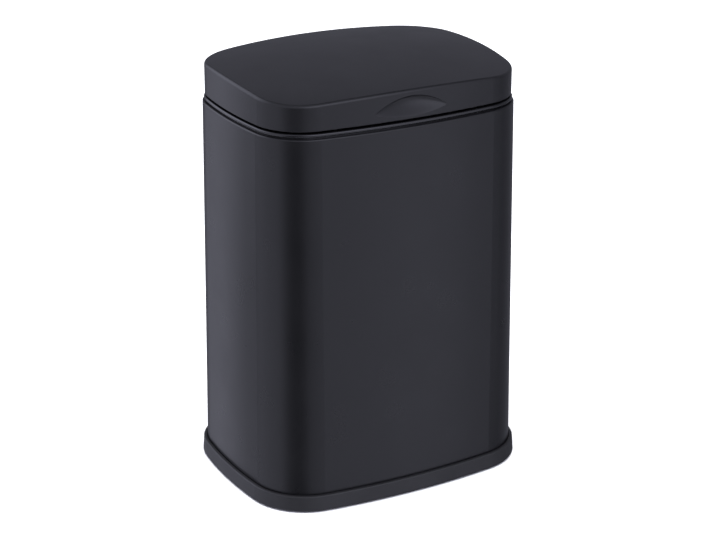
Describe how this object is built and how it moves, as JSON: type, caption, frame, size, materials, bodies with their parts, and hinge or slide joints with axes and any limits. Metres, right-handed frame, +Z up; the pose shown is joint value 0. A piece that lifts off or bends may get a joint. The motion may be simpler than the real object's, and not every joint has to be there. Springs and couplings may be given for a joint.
{
  "type": "waste bin",
  "caption": "Black waste bin with a bowed rectangular body on a plinth, a crowned hinged lid with a crescent finger scoop, and a lift-out inner bucket in a rim collar.",
  "frame": {"origin": "on the floor, under the middle of the bin", "axes": "+Z up, front with the finger scoop towards -Y, hinge at the back towards +Y"},
  "size_m": [0.2192, 0.1678, 0.3079],
  "materials": {
    "body_paint": "matt black powder coat",
    "lid_plastic": "matt black, fine texture",
    "collar_plastic": "satin black",
    "plinth_plastic": "matt black, fine grain",
    "bucket_plastic": "satin dark grey",
    "liner_plastic": "satin black",
    "plate_steel": "matt black powder coat",
    "screw_steel": "zinc plated",
    "rubber": "matt"
  },
  "bodies": {
    "body": {"body_shell": "body_paint", "base_plate": "plate_steel", "base_ring": "plinth_plastic", "base_screws": "screw_steel", "foot_pads": "rubber"},
    "insert": {"rim_collar": "collar_plastic", "inner_bucket": "bucket_plastic", "rim_buffers": "rubber", "hinge_pin": "screw_steel", "pin_caps": "collar_plastic"},
    "lid": {"lid_shell": "lid_plastic", "lid_liner": "liner_plastic", "liner_screws": "screw_steel", "hinge_leaf": "collar_plastic", "leaf_screws": "screw_steel"}
  },
  "joints": [
    {"name": "insert_lift", "type": "slide", "parent": "body", "child": "insert", "axis": [0, 0, 1], "range_m": [0, 0.265]},
    {"name": "lid_hinge", "type": "hinge", "parent": "insert", "child": "lid", "pos_m": [0, 0.07285, 0.2812], "axis": [-1, 0, 0], "range_deg": [0, 110]}
  ]
}
